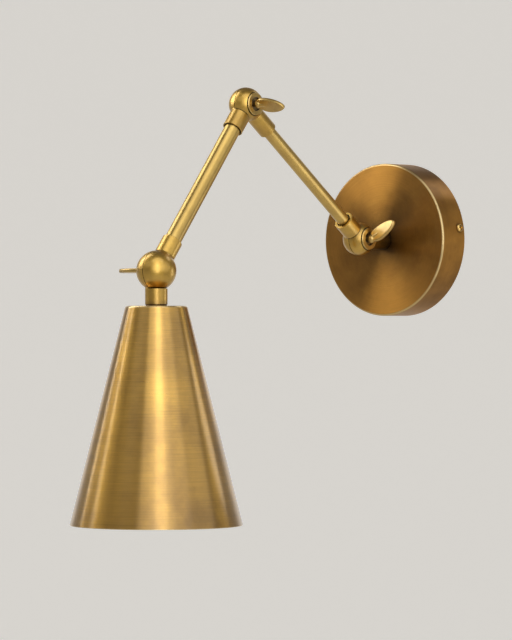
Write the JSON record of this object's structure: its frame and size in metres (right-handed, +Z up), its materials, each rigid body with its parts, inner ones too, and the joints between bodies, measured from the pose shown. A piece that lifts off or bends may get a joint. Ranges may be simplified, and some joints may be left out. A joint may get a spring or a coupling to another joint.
{
  "type": "swing arm wall lamp",
  "caption": "Wall lamp with a round wall cup, jointed tubular arms on ball joints clamped by wing keys, and an open cone shade over a lamp holder and bulb.",
  "frame": {"origin": "centre of the wall cup's back, on the wall plane, midway between the two wall holes", "axes": "+Z up, +Y into the wall, the lamp stands out along -Y and its joint axes are parallel to X"},
  "size_m": [0.1284, 0.3584, 0.3291],
  "materials": {
    "aged_brass": "aged brass, brushed and lacquered",
    "zinc_steel": "zinc plated",
    "contact_brass": "bright",
    "nylon": "natural nylon",
    "fibre": "dark vulcanised fibre",
    "terminal_plastic": "moulded",
    "holder_plastic": "moulded",
    "opal_glass": "opal"
  },
  "bodies": {
    "base": {"wall_bracket": "zinc_steel", "canopy": "aged_brass", "canopy_screws": "aged_brass", "wall_post": "aged_brass", "post_washer": "zinc_steel", "post_nut": "zinc_steel", "terminal_block": "terminal_plastic", "terminal_screws": "zinc_steel", "block_screw": "zinc_steel", "earth_screw": "zinc_steel", "wall_spring_washer": "zinc_steel", "wall_friction_washer": "nylon"},
    "lower_arm": {"lower_arm_heel": "aged_brass", "lower_arm_tube": "aged_brass", "elbow_near": "aged_brass", "elbow_spring_washer": "zinc_steel", "elbow_friction_washer": "nylon"},
    "upper_arm": {"elbow_far": "aged_brass", "upper_arm_tube": "aged_brass", "shade_knuckle": "aged_brass"},
    "shade_head": {"shade_neck": "aged_brass", "neck_washer": "fibre", "shade": "aged_brass", "nipple": "zinc_steel", "shade_nut": "zinc_steel", "lampholder_body": "holder_plastic", "lampholder_sleeve": "contact_brass", "lampholder_contact": "contact_brass", "bulb_cap": "contact_brass", "bulb_globe": "opal_glass", "shade_spring_washer": "zinc_steel", "shade_friction_washer": "nylon"},
    "wall_key": {"wall_wing_key": "aged_brass"},
    "elbow_key": {"elbow_wing_key": "aged_brass"},
    "shade_key": {"shade_wing_key": "aged_brass"}
  },
  "joints": [
    {"name": "wall_hinge", "type": "hinge", "parent": "base", "child": "lower_arm", "pos_m": [0, -0.0575, 0], "axis": [-1, 0, 0], "range_deg": [-45, 60]},
    {"name": "elbow_hinge", "type": "hinge", "parent": "lower_arm", "child": "upper_arm", "pos_m": [0, -0.19353, 0.10029], "axis": [1, 0, 0], "range_deg": [-165, 20]},
    {"name": "shade_hinge", "type": "hinge", "parent": "upper_arm", "child": "shade_head", "pos_m": [0, -0.29424, -0.02724], "axis": [-1, 0, 0], "range_deg": [-70, 140]},
    {"name": "wall_key_turn", "type": "hinge", "parent": "lower_arm", "child": "wall_key", "pos_m": [0, -0.0575, 0], "axis": [1, 0, 0], "range_deg": [-15, 180]},
    {"name": "elbow_key_turn", "type": "hinge", "parent": "upper_arm", "child": "elbow_key", "pos_m": [0, -0.19353, 0.10029], "axis": [1, 0, 0], "range_deg": [-15, 180]},
    {"name": "shade_key_turn", "type": "hinge", "parent": "upper_arm", "child": "shade_key", "pos_m": [0, -0.29424, -0.02724], "axis": [-1, 0, 0], "range_deg": [-15, 180]}
  ]
}
